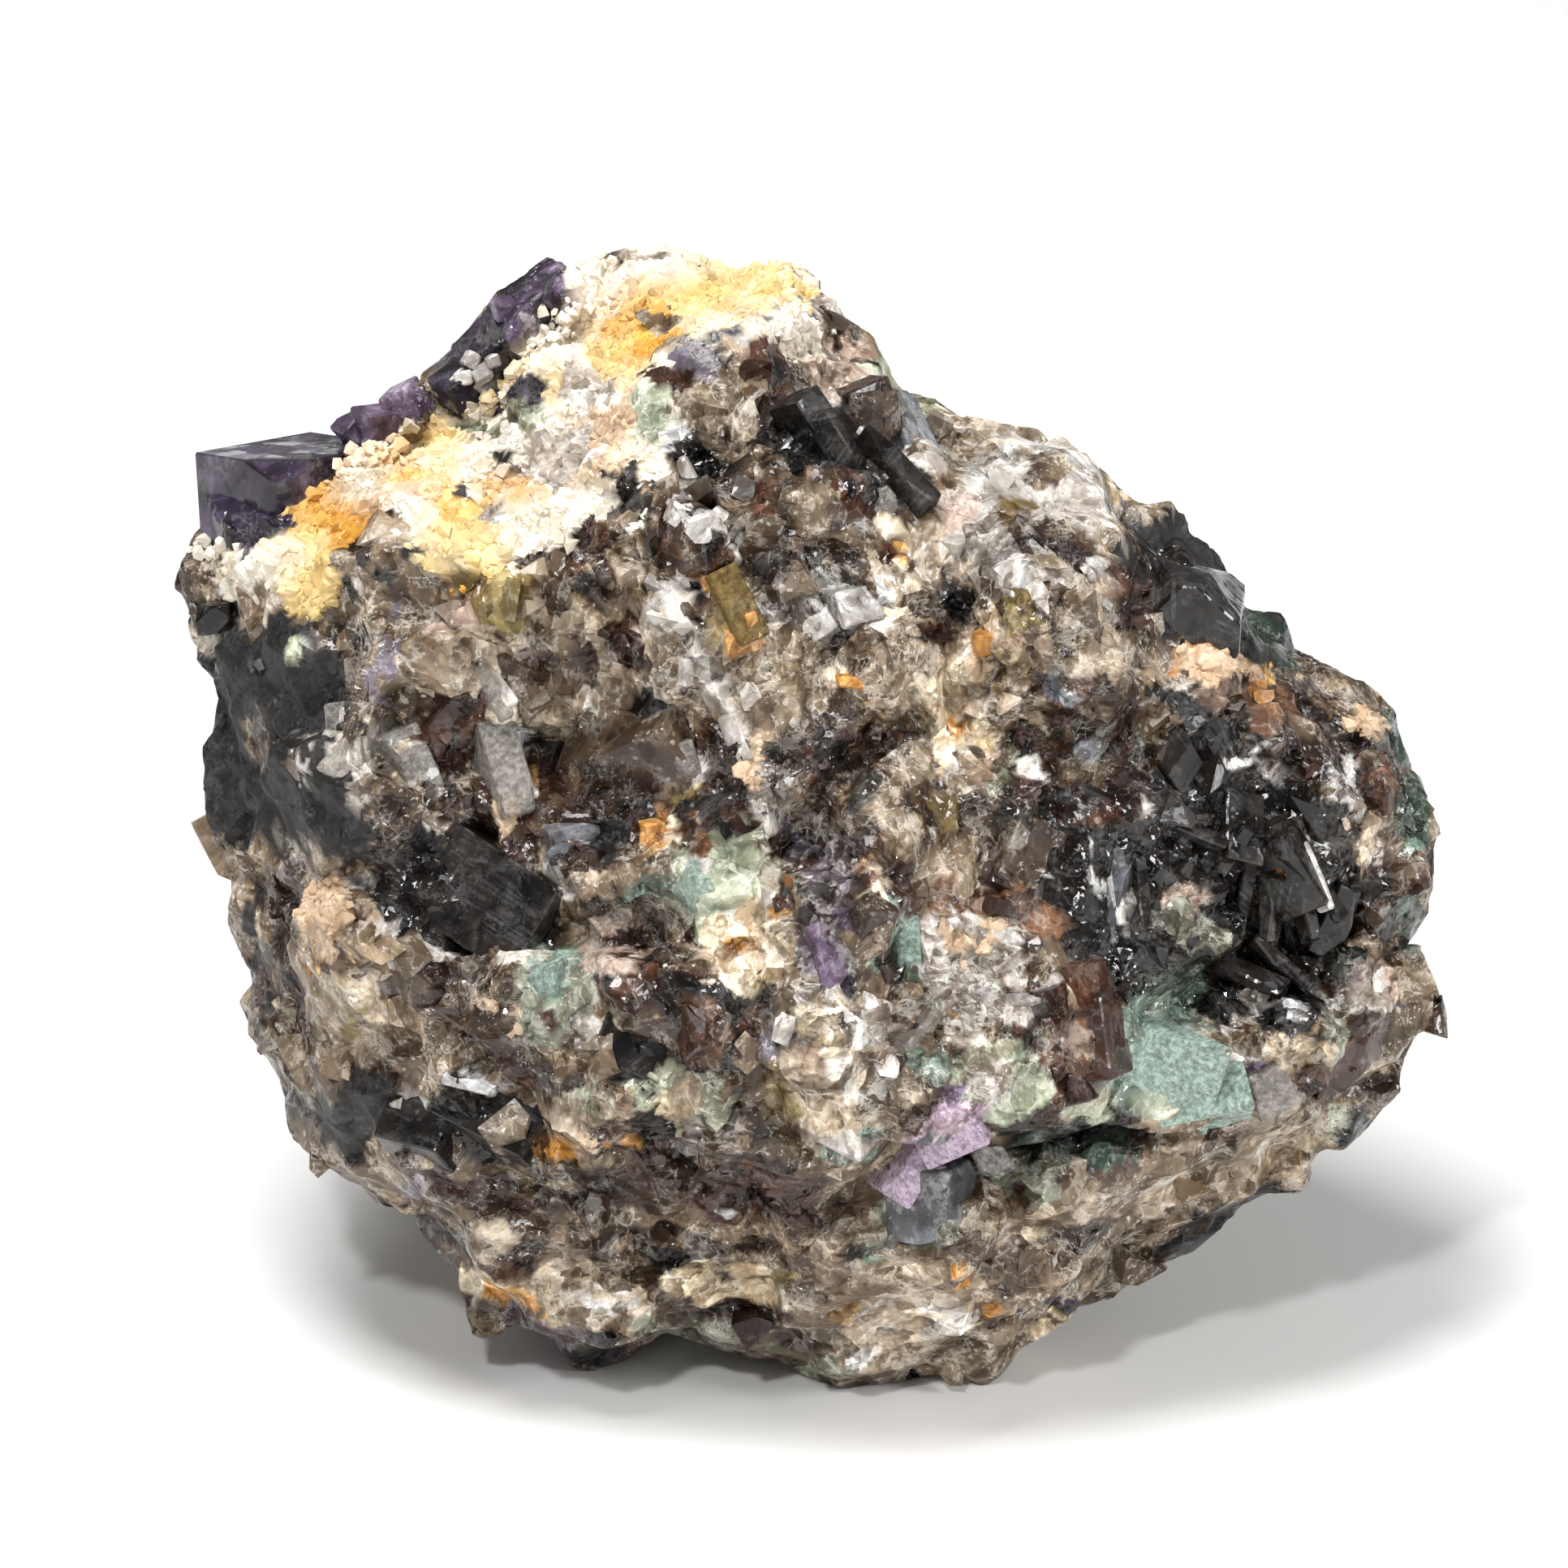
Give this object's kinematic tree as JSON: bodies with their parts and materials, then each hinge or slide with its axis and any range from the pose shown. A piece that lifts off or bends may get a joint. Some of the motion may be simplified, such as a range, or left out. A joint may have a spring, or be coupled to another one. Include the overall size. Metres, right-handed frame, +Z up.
{
  "type": "fluorite hand specimen",
  "caption": "Rough broken lump of smoky granular rock with cleaved dark, green and violet fluorite crystals grown into it, leaning back on a small flat foot.",
  "frame": {"origin": "middle of the bounding box's underside, on the flat foot that the stone rests on", "axes": "+X to the right along the broken face, which is the longest way; +Y away from the viewer, through the thickness; +Z up"},
  "size_m": [0.0784, 0.056, 0.0648],
  "materials": {
    "smoky_stone": "rough broken surface with glassy cleavage faces"
  },
  "bodies": {
    "root": {"fluorite_specimen": "smoky_stone"}
  },
  "joints": []
}
